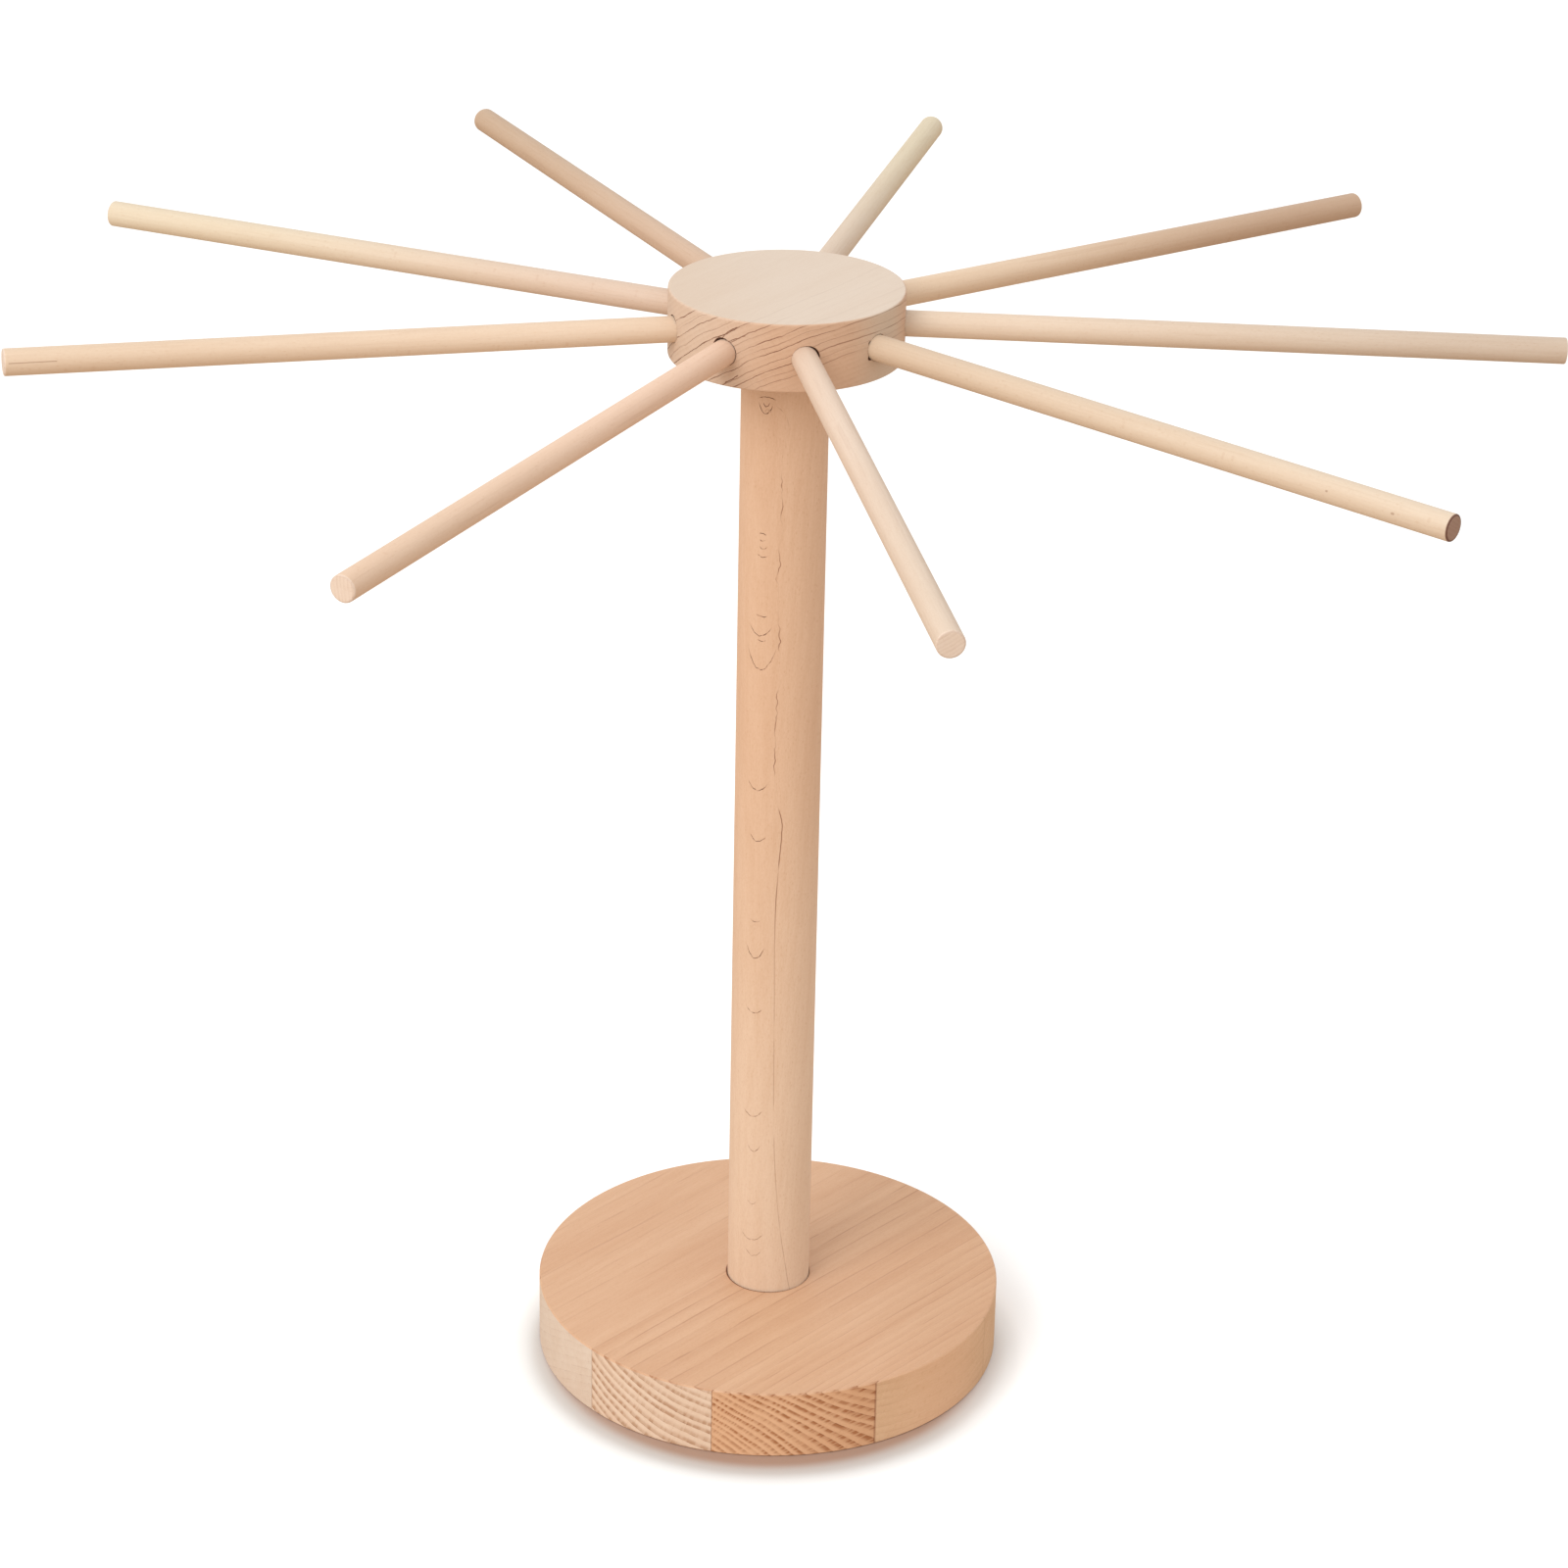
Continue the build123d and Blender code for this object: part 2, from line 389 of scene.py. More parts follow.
def glue_lines_and_painted_light(tree, normal):
    """Marks within a glue line's width of the staves' joints, clear on the rim and faint on the top and on
    the right, a painted shadow line in the gap round the post's hole, on its front left, and the rim's
    colour, paler than the top's, partly its own tone and partly painted light."""
    own = own_point(tree)
    across = vector_calc(tree, "DOT_PRODUCT", own, across_staves)
    nearest = 1.0
    for joint in stave_joints:
        away = calc(tree, "ABSOLUTE", calc(tree, "SUBTRACT", across, joint))
        nearest = calc(tree, "MINIMUM", nearest, away)
    facing, places = axes_of(tree, normal), axes_of(tree, own)
    along, flat = calc(tree, "ABSOLUTE", facing["X"]), calc(tree, "ABSOLUTE", facing["Z"])
    top = mixed(tree, ramp(tree, places["X"], 0.02, 0.075), stave_top_colour, stave_right_colour)
    # The rim gets its paler colour, partly painted light, and the top its own, by the way the surface
    # faces.
    colour = mixed(tree, flat, stave_rim_lit_colour, top)
    joints = product(
        tree,
        ramp(tree, nearest, glue_line / 3, glue_line, 1.0, 0.0),
        ramp(tree, along, 0.05, 0.3, 0.12, 0.5),
        ramp(tree, places["X"], 0.05, 0.07, 1.0, 0.3),
    )
    # Painted shadow: a dark line in the gap round the post's hole, on the top only and strongest at its
    # front left.
    level = vector_calc(tree, "MULTIPLY", own, (1.0, 1.0, 0.0))
    front = vector_calc(tree, "DOT_PRODUCT", level, (-0.77 / hole_radius, -0.64 / hole_radius, 0.0))
    out = vector_calc(tree, "LENGTH", level)
    dark = product(
        tree,
        ramp(tree, out, hole_radius + 0.15 * mm, hole_radius + 0.5 * mm, 1.0, 0.0),
        ramp(tree, places["Z"], 0.02, 0.025),
        ramp(tree, front, -0.2, 0.8, 0.2, 0.9),
    )
    return {"Mark": calc(tree, "MAXIMUM", joints, dark), "Face Colour": colour}


for name, stave in stave_figures.items():
    place, height = stave["pith"]
    pith = across_staves * place * mm + Vector((0.0, 0.0, height * mm))
    near, far = ((*colour, 1.0) for colour in stave["ends"])
    sides = corners_of(name) @ np.array(across_staves)

    def stave_marks(tree, point, normal):
        """The glue lines, and the end grain's colour and rings. The colour changes from one side of the
        stave to the other, and gives way to the top's on the eased edge. A plain right end has hardly
        any rings."""
        axes = axes_of(tree, point)
        low, high = float(sides.min()), float(sides.max())
        ends = mixed(tree, ramp(tree, axes["Y"], -place * mm - high, -place * mm - low), far, near)
        plain = ramp(tree, axes["X"], 0.0, 0.03, 0.0, stave.get("plain_right", 0.0))
        ends = mixed(tree, plain, ends, plain_end_colour)
        flat = calc(tree, "ABSOLUTE", axes_of(tree, normal)["Z"])
        plain = product(tree, plain, ramp(tree, flat, 0.75, 0.95, 1.0, 0.0))
        rings = calc(tree, "SUBTRACT", 1.0, plain)
        return {
            **glue_lines_and_painted_light(tree, normal),
            "End Colour": mixed(tree, ramp(tree, flat, 0.15, 0.6), ends, stave_top_colour),
            "Summer Strength": product(tree, rings, stave["summer"]),
            "Line Strength": product(tree, rings, min(1.0, 0.3 + stave["summer"])),
        }

    own_values = {
        "First Ring": stave["first"] * mm,
        "Ring Spacing": stave["spacing"] * mm,
        "Face Share": stave["face"],
        "Ray Breaks": stave["breaks"],
    }
    turn = (0.0, 0.0, stave_heading)
    finish = beech(name + "_beech", pith, turn, {**stave_values, **own_values}, stave_marks)
    frame["nodes"][name].material_slots[0].material = finish


# Base screw: a countersunk steel wood screw, zinc plated, driven up through the base into the post. Only
# its cross-slotted head shows, from below.

plate = bpy.data.materials.new("zinc_plate")
plate.use_nodes = True
tree = plate.node_tree
shader = tree.nodes["Principled BSDF"]
shader.inputs["Metallic"].default_value = 1.0
point = own_point(tree)
patches = ramp(tree, noise(tree, point, (900, 900, 900), 3.0), 0.35, 0.65)
colour = mixed(tree, patches, (0.60, 0.58, 0.54, 1.0), (0.44, 0.43, 0.41, 1.0))
tree.links.new(colour, shader.inputs["Base Color"])
tree.links.new(calc(tree, "MULTIPLY_ADD", patches, 0.15, 0.3), shader.inputs["Roughness"])
scratches = noise(tree, point, (400, 6000, 400), 2.0)
relief = add_node(tree, "Bump", {"Height": scratches, "Distance": 0.01 * mm})
tree.links.new(relief.outputs["Normal"], shader.inputs["Normal"])
frame["nodes"]["base_screw"].material_slots[0].material = plate


# Post: a turned beech bar with eased ends, sanded, standing in the base's hole. The growth rings touch
# its front almost flat, so they cut it in small nested U marks, and a dark line runs down beside them.
# Its top has the bore for the peg and its foot the screw's pilot hole.


def eased(*corners, steps=6):
    """A half outline from (radius, height, easing) corners. An eased corner becomes a Bezier arc that
    starts and ends so far from it, p = (1-t)^2 a + 2t(1-t) c + t^2 b, with one more point outside each
    end, which keeps the flats flat."""
    places = np.array(corners, dtype=float)
    points = [places[:1, :2]]
    t = np.linspace(0.0, 1.0, steps + 1)[:, None]
    for before, corner, after in zip(places, places[1:], places[2:]):
        middle, reach = corner[:2], corner[2]
        back = (before[:2] - middle) / np.linalg.norm(before[:2] - middle) * reach
        ahead = (after[:2] - middle) / np.linalg.norm(after[:2] - middle) * reach
        arc = middle + (1 - t) ** 2 * back + t**2 * ahead
        points += [[middle + 2 * back], arc, [middle + 2 * ahead]]
    return np.concatenate([*points, places[-1:, :2]])


def turned(outline, around, start=0.0):
    """A sheet turned about Z from (radius, height) points: x = r cos a, y = r sin a, z = h."""
    angle = start + np.linspace(0.0, 2 * np.pi, around + 1)
    radius, height = outline[:, :1], outline[:, 1:]
    return np.stack([radius * np.cos(angle), radius * np.sin(angle), height + 0 * angle], axis=-1)


weld_distance = 0.001 * mm
crisp_angle = np.radians(40.0)


def sewn(name, sheets, finish):
    """A smooth closed object from sheets, each a grid of points whose neighbours make quads. Points that
    meet are welded, and edges sharper than an eased corner's stay crisp."""
    points, quads, start = [], [], 0
    for sheet in sheets:
        rows, columns = sheet.shape[:2]
        place = start + np.arange(rows * columns).reshape(rows, columns)
        corners = place[:-1, :-1], place[1:, :-1], place[1:, 1:], place[:-1, 1:]
        quads.append(np.stack(corners, axis=-1).reshape(-1, 4))
        points.append(sheet.reshape(-1, 3))
        start += rows * columns
    mesh = bpy.data.meshes.new(name)
    mesh.from_pydata(np.concatenate(points).tolist(), [], np.concatenate(quads).tolist())
    body = bmesh.new()
    body.from_mesh(mesh)
    bmesh.ops.remove_doubles(body, verts=body.verts, dist=weld_distance)
    bmesh.ops.recalc_face_normals(body, faces=body.faces)
    for face in body.faces:
        face.smooth = True
    body.to_mesh(mesh)
    body.free()
    mesh.set_sharp_from_angle(angle=crisp_angle)
    mesh.materials.append(finish)
    made = bpy.data.objects.new(name, mesh)
    bpy.context.scene.collection.objects.link(made)
    return made


def stands_for(piece, node, body):
    """The piece takes the CAD node's place on its body, and the node is hidden."""
    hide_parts(node)
    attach(piece, body)


upright = (0.0, -np.pi / 2, 0.0)
post_low, post_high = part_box("post")
peg_low, peg_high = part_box("hub_peg")
screw_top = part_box("base_screw")[1].z
post_radius = post_high.x
post_easing = 0.8 * mm
post_around = 160
peg_gap = 0.1 * mm
peg_bore = peg_high.x + peg_gap
pilot_core, pilot_shank = 2.1 * mm, 2.9 * mm
core_bottom, shank_top = 18.9 * mm, 18.1 * mm
post_outline = eased(
    (0, screw_top + pilot_core, 0),
    (pilot_core, screw_top, 0),
    (pilot_core, core_bottom, 0),
    (pilot_shank, shank_top, 0),
    (pilot_shank, post_low.z, 0),
    (post_radius, post_low.z, post_easing),
    (post_radius, post_high.z, post_easing),
    (peg_bore, post_high.z, 0),
    (peg_bore, peg_low.z, 0),
    (0, peg_low.z, 0),
)

post_front = np.radians(-125.6)
post_lean = np.radians(5.0)
post_pith_distance = 62 * mm
back = Vector((-np.cos(post_front), -np.sin(post_front), 0.0))
post_grain = (Vector((0.0, 0.0, 1.0)) + back * np.tan(post_lean)).normalized()
post_top_colour = (0.679, 0.457, 0.312, 1.0)
post_foot_colour = (0.71, 0.532, 0.392, 1.0)
curl_width = 0.17 * mm
post_curls = (
    (-124.0, 391.0, 11, 4.2),
    (-122.0, 397.3, 12, -0.8),
    (-123.0, 393.8, 5, 1.6),
    (-121.0, 392.6, 5, -0.8),
    (-125.0, 345.2, 5, -0.6),
    (-125.0, 342.0, 4, 0.5),
    (-124.0, 339.0, 5, 0.8),
    (-125.0, 335.8, 8, 1.0),
    (-125.0, 312.4, 8, 0.7),
    (-127.0, 304.8, 17, 4.0),
    (-124.0, 302.8, 6, 0.6),
    (-125.5, 291.4, 22, 9.0),
    (-127.0, 242.6, 15, 3.2),
    (-125.0, 221.8, 12, 2.4),
    (-127.0, 188.0, 8, 1.0),
    (-126.0, 172.8, 14, 5.0),
    (-126.0, 149.5, 12, 2.0),
    (-126.0, 104.6, 15, 3.0),
    (-123.0, 89.5, 10, 3.0),
    (-124.0, 66.0, 7, 1.5),
    (-124.0, 50.0, 18, 3.4),
    (-121.0, 43.0, 12, 2.5),
)
line_places = (
    (27, -66.0),
    (42, -76.0),
    (55, -83.0),
    (75, -90.0),
    (95, -94.0),
    (150, -97.0),
    (195, -98.0),
    (212, -95.0),
    (230, -92.0),
    (240, -100.0),
    (262, -103.0),
    (295, -99.0),
    (332, -103.0),
    (352, -99.0),
    (372, -101.0),
    (388, -95.0),
    (409, -92.0),
)


def curl_mark():
    """A thin curl on a round bar: the parabola, height = bottom + rise x^2, where x is the turn from the
    curl's centre over its half width. It is 1 within its width of the parabola and ends where x is 1."""
    wires = ("Turn", "Height", "Centre", "Bottom", "Half Width", "Rise")
    tree, given, result = new_group("curl mark", dict.fromkeys(wires, "Float"), {"Mark": "Float"})
    side = calc(tree, "DIVIDE", calc(tree, "SUBTRACT", given["Turn"], given["Centre"]), given["Half Width"])
    level = calc(tree, "MULTIPLY_ADD", calc(tree, "MULTIPLY", side, side), given["Rise"], given["Bottom"])
    slope = calc(tree, "DIVIDE", product(tree, side, given["Rise"], 2 / post_radius), given["Half Width"])
    steep = calc(tree, "SQRT", calc(tree, "MULTIPLY_ADD", slope, slope, 1.0))
    away = calc(tree, "ABSOLUTE", calc(tree, "SUBTRACT", given["Height"], level))
    away = calc(tree, "DIVIDE", away, steep)
    line = ramp(tree, away, curl_width / 3, curl_width, 1.0, 0.0)
    near = ramp(tree, calc(tree, "ABSOLUTE", side), 0.7, 1.05, 1.0, 0.0)
    tree.links.new(calc(tree, "MULTIPLY", line, near), result["Mark"])
    return tree


curl_group = curl_mark()


def post_marks(tree, point, normal):
    """The curls near the front line, the long line, which is jagged and broken in its upper part, and the
    bar's colour, which is paler towards its foot."""
    own = axes_of(tree, own_point(tree))
    turn = calc(tree, "ARCTAN2", own["Y"], own["X"])
    bend = calc(tree, "MULTIPLY_ADD", noise(tree, point, (300, 700, 700), 2.0), 1.2 * mm, -0.6 * mm)
    height = calc(tree, "ADD", own["Z"], bend)
    curls = 0.0
    for centre, bottom, half, rise in post_curls:
        wires = {
            "Turn": turn,
            "Height": height,
            "Centre": np.radians(centre),
            "Bottom": bottom * mm,
            "Half Width": np.radians(half),
            "Rise": rise * mm,
        }
        curls = calc(tree, "MAXIMUM", curls, group_node(tree, curl_group, wires)["Mark"])
    patchy = ramp(tree, noise(tree, point, (350, 700, 700), 1.0), 0.34, 0.54, 0.35, 1.0)
    foot = ramp(tree, own["Z"], 0.07, 0.13, 0.65, 1.0)
    curls = product(tree, curls, patchy, foot)
    curve = add_node(tree, "FloatCurve", {"Value": calc(tree, "DIVIDE", own["Z"], post_high.z)})
    knots = curve.mapping.curves[0].points
    for level, azimuth in line_places:
        knots.new(level * mm / post_high.z, -azimuth / 180)
    upper = ramp(tree, own["Z"], 0.215, 0.25)
    jag = product(tree, calc(tree, "SUBTRACT", noise(tree, point, (170, 1, 1), 2.0), 0.5), upper, 0.25)
    line_turn = calc(tree, "MULTIPLY_ADD", curve.outputs[0], -np.pi, jag)
    off_line = calc(tree, "ABSOLUTE", calc(tree, "SUBTRACT", turn, line_turn))
    line = ramp(tree, off_line, 0.005, 0.016, 1.0, 0.0)
    tone = calc(tree, "MULTIPLY_ADD", upper, -0.17, noise(tree, point, (60, 200, 200), 2.0))
    clear = ramp(tree, own["Z"], 0.175, 0.205, 0.32, 0.75)
    line = product(tree, line, ramp(tree, tone, 0.3, 0.5, 0.06, 1.0), clear)
    colour = mixed(tree, ramp(tree, own["Z"], 0.05, 0.3), post_foot_colour, post_top_colour)
    return {"Mark": calc(tree, "MAXIMUM", curls, line), "Face Colour": colour}


post_values = {
    "End Colour": (0.56, 0.38, 0.26, 1.0),
    "First Ring": 0.0,
    "Ring Spacing": 0.95 * mm,
    "Ring Wobble": 1.1 * mm,
    "Line Share": 0.2,
    "Pith Distance": post_pith_distance,
    "Summer Strength": 0.17,
    "Line Strength": 0.2,
    "Face Share": 0.12,
    "Ray Strength": 0.3,
    "Ray Breaks": 0.5,
    "Fibre Strength": 0.6,
    "Cloud Strength": 0.5,
}
turn = post_grain.to_track_quat("X", "Z").to_euler()
post_finish = beech("post_beech", back * post_pith_distance, turn, post_values, post_marks)
post_piece = sewn("post_bar", [turned(post_outline, post_around)], post_finish)
stands_for(post_piece, "post", "stand")


# Peg: a short beech peg with straight flutes milled down its side and its ends well eased. It is pushed
# into the post's top, and the hub sits on it, loose enough to turn and to lift off.

peg_radius = peg_high.x
peg_easing = 1.5 * mm
flute_count = 12
flute_depth = 0.45 * mm
peg_around = flute_count * 12
peg_sheet = turned(
    eased(
        (0, peg_low.z, 0),
        (peg_radius, peg_low.z, peg_easing),
        (peg_radius, peg_high.z, peg_easing),
        (0, peg_high.z, 0),
    ),
    peg_around,
)
angle = np.linspace(0.0, 2 * np.pi, peg_around + 1)
# A groove is the top of a cosine, and the land between two grooves stays round.
groove = np.clip(np.cos(angle * flute_count) * 1.6 - 0.6, 0.0, 1.0)
distance = np.linalg.norm(peg_sheet[..., :2], axis=-1, keepdims=True)
full = np.clip((distance - peg_radius + peg_easing) / peg_easing, 0.0, 1.0)
peg_sheet[..., :2] *= 1 - full * groove[:, None] * flute_depth / np.maximum(distance, flute_depth)
peg_values = {**post_values, "Face Colour": post_top_colour, "End Colour": (0.6, 0.42, 0.29, 1.0)}
peg_finish = beech("peg_beech", (60 * mm, 0.0, 0.0), upright, peg_values)
peg_piece = sewn("peg_fluted", [peg_sheet], peg_finish)
stands_for(peg_piece, "hub_peg", "peg")


# Hub: a round beech block, sanded, with nine blind sockets bored round its rim. Its rings cross the rim
# as dark, almost crack-like lines. No socket runs quite true: each follows its dowel, with a torn mouth,
# and a crescent of painted shadow darkens the gap at each mouth.

hub_low, hub_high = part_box("hub")
hub_radius = hub_high.x
hub_easing = 0.8 * mm
socket_count = 9
socket_gap = 0.12 * mm
socket_depth = 15 * mm
socket_floor = hub_radius - socket_depth
mouth_break = 0.1 * mm
half_sector = np.pi / socket_count
half_height = (hub_high.z - hub_low.z) / 2 - 2 * hub_easing
hub_middle = (hub_high.z + hub_low.z) / 2
sector_steps, height_steps, rim_steps, wall_steps = 28, 20, 10, 5
wall_start = 1.5 * mm
mouth_drifts = {1: (0.18, 0.05), 2: (0.1, 0.0), 9: (-0.06, 0.13)}
# Each mouth's tears, as turn, spread and width: they tear the rim's edge, and the same crescents are
# painted dark, partly torn fibres and partly painted shadow of the gap round the dowel.
torn_mouths_and_gap_shade = {
    1: ((38, 52, 0.32),),
    2: ((216, 17, 0.85), (148, 13, 0.5)),
    3: ((80, 60, 0.35),),
    4: ((140, 50, 0.4),),
    5: ((60, 70, 0.3),),
    6: ((100, 45, 0.45),),
    7: ((30, 60, 0.3),),
    8: ((75, 50, 0.4),),
    9: ((110, 50, 0.5), (0, 85, 0.06)),
}
pulls = {joint["child"]: Vector(joint["axis"]) for joint in frame["joints"]}


def rod_frame(number):
    """A dowel's own turn, with its length along Z, and its lowest and highest corner in that frame."""
    name = f"dowel_{number}"
    turn = np.array(pulls[name].to_track_quat("Z", "Y").to_matrix())
    inside = corners_of(name) @ turn
    return turn, inside.min(axis=0), inside.max(axis=0)


def socket_line(number):
    """A socket's spoke frame, a point and the slope of its line in that frame, and its radius."""
    turn, low, high = rod_frame(number)
    heading = 2 * half_sector * (number - 1) - np.pi / 2
    cos, sin = np.cos(heading), np.sin(heading)
    spoke = np.array([[cos, -sin, 0], [sin, cos, 0], [0, 0, 1]])
    middle = turn @ ((low + high) / 2 * (1, 1, 0)) @ spoke - (0, 0, hub_middle)
    return spoke, middle, turn[:, 2] @ spoke, (high[0] - low[0]) / 2 + socket_gap


def hub_sector(number):
    """A socket and the rim round it. Rays run from the hole's edge, y = dy + r cos t, z = dz + r sin t, to
    the sector's own border, and the socket's wall and floor follow inwards from it, along the dowel."""
    spoke, middle, slope, socket_radius = socket_line(number)
    wide = np.linspace(-half_sector, half_sector, sector_steps + 1)
    tall = np.linspace(-half_height, half_height, height_steps + 1)
    side, level = np.full(height_steps, half_sector), np.full(sector_steps, half_height)
    border_turn = np.concatenate([wide[:-1], side, wide[:0:-1], -side, wide[:1]])
    border_lift = np.concatenate([-level, tall[:-1], level, tall[:0:-1], -level[:1]])
    angle = np.arctan2(border_lift, border_turn * hub_radius)
    torn = (0.05 + 0.03 * np.cos(5 * angle + number) + 0.02 * np.cos(11 * angle + 3 * number)) * mm
    for place, spread, width in torn_mouths_and_gap_shade[number]:
        off_tear = np.abs((angle - np.radians(place) + np.pi) % (2 * np.pi) - np.pi)
        near_tear = np.cos(np.minimum(off_tear / np.radians(spread), 1.0) * np.pi / 2)
        torn += near_tear**2 * width / 2 * mm
    drift = np.array(mouth_drifts.get(number, (0.0, 0.0))) * mm

    def ring(radius, outwards):
        """Points round the socket's line, so far from the rack's axis, or on the rim where that is None."""
        reach = hub_radius if outwards is None else outwards
        share = (reach - socket_floor) / (hub_radius - socket_floor)
        centre = middle + slope * (reach - middle[0]) / slope[0]
        across = centre[1] + drift[0] * share + radius * np.cos(angle)
        lift = centre[2] + drift[1] * share + radius * np.sin(angle)
        out = np.sqrt(hub_radius**2 - across**2) if outwards is None else outwards + 0 * across
        return out, across, lift

    def laid(out, across, lift):
        """Points out along the spoke, across it and up, in the row frame."""
        return np.stack([out, across, lift + hub_middle], axis=-1) @ spoke.T

    rim_out, rim_across, rim_lift = ring(socket_radius + mouth_break + torn, None)
    hole_turn = np.arctan2(rim_across, rim_out)
    rows = []
    for share in np.linspace(0.0, 1.0, rim_steps + 1) ** 1.5:
        swing = hole_turn + (border_turn - hole_turn) * share
        lift = rim_lift + (border_lift - rim_lift) * share
        rows.append(laid(hub_radius * np.cos(swing), hub_radius * np.sin(swing), lift))
    wall_out, wall_across, wall_lift = ring(socket_radius, None)
    deepest = float(wall_out.min()) - wall_start
    wall_out = wall_out - mouth_break - torn
    inner = [laid(rim_out, rim_across, rim_lift), laid(wall_out, wall_across, wall_lift)]
    for outwards in np.linspace(deepest, socket_floor, wall_steps + 1):
        inner.append(laid(*ring(socket_radius, outwards)))
    inner.append(laid(*ring(0.0, socket_floor)))
    return [np.array(rows), np.array(inner)]


first_side = -np.pi / 2 - half_sector
hub_around = socket_count * sector_steps
hub_top = eased(
    (hub_radius, hub_high.z - 2 * hub_easing, 0),
    (hub_radius, hub_high.z, hub_easing),
    (0, hub_high.z, 0),
)
peg_top_gap = 0.6 * mm
bore_top = peg_high.z + peg_top_gap
bore_easing = 0.3 * mm
hub_under = eased(
    (hub_radius, hub_low.z + 2 * hub_easing, 0),
    (hub_radius, hub_low.z, hub_easing),
    (peg_bore, hub_low.z, bore_easing),
    (peg_bore, bore_top, 0),
    (0, bore_top, 0),
)
hub_sheets = [turned(outline, hub_around, first_side) for outline in (hub_top, hub_under)]
for number in range(1, socket_count + 1):
    hub_sheets += hub_sector(number)

hub_heading = np.radians(46.0)
across_hub = Vector((np.sin(hub_heading), -np.cos(hub_heading), 0.0))
hub_pith = across_hub * 118.8 * mm + Vector((0.0, 0.0, 233.2 * mm))
dark_rings = (
    (204.5, 0.55),
    (206.6, 0.35),
    (208.8, 0.9),
    (211.1, 0.55),
    (214.4, 0.9),
    (216.4, 0.4),
    (218.7, 0.8),
    (221.6, 0.3),
    (223.4, 0.7),
    (226.7, 0.95),
    (229.8, 0.4),
    (233.3, 0.8),
    (235.6, 0.35),
    (238.5, 0.9),
)
hub_checks = (
    ((-130.5, 426.6), (-127.0, 429.5)),
    ((-127.0, 429.5), (-122.5, 431.6)),
    ((-127.5, 425.8), (-118.5, 428.8)),
    ((-129.8, 409.6), (-121.9, 413.9)),
)
check_width, check_strength = 0.22 * mm, 0.87
tear_gap = 0.05 * mm


def ring_lines():
    """Single dark lines at some distances from the pith. A line is 1 within its width of a ring, times the
    ring's own strength, and noise bends, thins and breaks it."""
    tree, given, result = new_group("ring lines", {"Point": "Vector"}, {"Mark": "Float"})
    point = given["Point"]
    distance = group_node(tree, round_pith_group, {"Point": point})["Distance"]
    bend = calc(tree, "SUBTRACT", noise(tree, point, (16, 70, 70), 1.0), 0.5)
    place = calc(tree, "MULTIPLY_ADD", bend, 2.4 * mm, distance)
    bend = calc(tree, "SUBTRACT", noise(tree, point, (70, 380, 380), 2.0), 0.5)
    place = calc(tree, "MULTIPLY_ADD", bend, 0.8 * mm, place)
    width = ramp(tree, noise(tree, point, (60, 60, 60), 1.0), 0.35, 0.65, 0.15 * mm, 0.26 * mm)
    half = calc(tree, "MULTIPLY", width, 0.35)
    lines = 0.0
    for radius, strength in dark_rings:
        away = calc(tree, "ABSOLUTE", calc(tree, "SUBTRACT", place, radius * mm))
        lines = calc(tree, "MAXIMUM", lines, ramp(tree, away, half, width, strength, 0.0))
    broken = ramp(tree, noise(tree, point, (90, 130, 130), 1.0), 0.33, 0.5, 0.45, 0.96)
    tree.links.new(calc(tree, "MULTIPLY", lines, broken), result["Mark"])
    return tree


def dark_streak():
    """A short dark streak: 1 within its width of the straight run from its start."""
    wires = {"Place": "Vector", "Start": "Vector", "Run": "Vector", "Width": "Float"}
    tree, given, result = new_group("dark streak", wires, {"Mark": "Float"})
    past = vector_calc(tree, "SUBTRACT", given["Place"], given["Start"])
    reach = vector_calc(tree, "DOT_PRODUCT", past, given["Run"])
    whole = vector_calc(tree, "DOT_PRODUCT", given["Run"], given["Run"])
    share = add_node(tree, "Clamp", {"Value": calc(tree, "DIVIDE", reach, whole)}).outputs[0]
    away = vector_calc(tree, "DISTANCE", past, vector_calc(tree, "MULTIPLY", given["Run"], share))
    line = ramp(tree, calc(tree, "DIVIDE", away, given["Width"]), 0.3, 1.0, 1.0, 0.0)
    tree.links.new(line, result["Mark"])
    return tree


def streak(tree, place, start, end, width):
    """The mark of one dark streak between two places."""
    wires = {"Place": place, "Start": start, "Run": end - start, "Width": width}
    return group_node(tree, dark_streak_group, wires)["Mark"]


def torn_mouth_shade():
    """A crescent on one side of a hole's mouth, on the unrolled rim, partly torn, darkened fibres and
    partly
    painted shadow of the gap: 1 within the hole's radius and a width that falls off by a spread to either
    side of the tear's turn."""
    numbers = dict.fromkeys(("Radius", "Turn", "Spread", "Width"), "Float")
    wires = {"Place": "Vector", "Centre": "Vector", **numbers}
    tree, given, result = new_group("torn mouth and shade", wires, {"Mark": "Float"})
    off = vector_calc(tree, "SUBTRACT", given["Place"], given["Centre"])
    axes = axes_of(tree, off)
    turn = calc(tree, "SUBTRACT", calc(tree, "ARCTAN2", axes["Y"], axes["X"]), given["Turn"])
    away = calc(tree, "ABSOLUTE", calc(tree, "WRAP", turn, np.pi, -np.pi))
    full = ramp(tree, calc(tree, "DIVIDE", away, given["Spread"]), 0.0, 1.0, 1.0, 0.0)
    edge = calc(tree, "MULTIPLY_ADD", full, given["Width"], given["Radius"])
    past = calc(tree, "SUBTRACT", vector_calc(tree, "LENGTH", off), edge)
    inside = ramp(tree, past, -0.08 * mm, 0.08 * mm, 1.0, 0.0)
    tree.links.new(calc(tree, "MULTIPLY", inside, ramp(tree, full, 0.0, 0.3)), result["Mark"])
    return tree


ring_line_group = ring_lines()
dark_streak_group = dark_streak()
torn_mouth_shade_group = torn_mouth_shade()
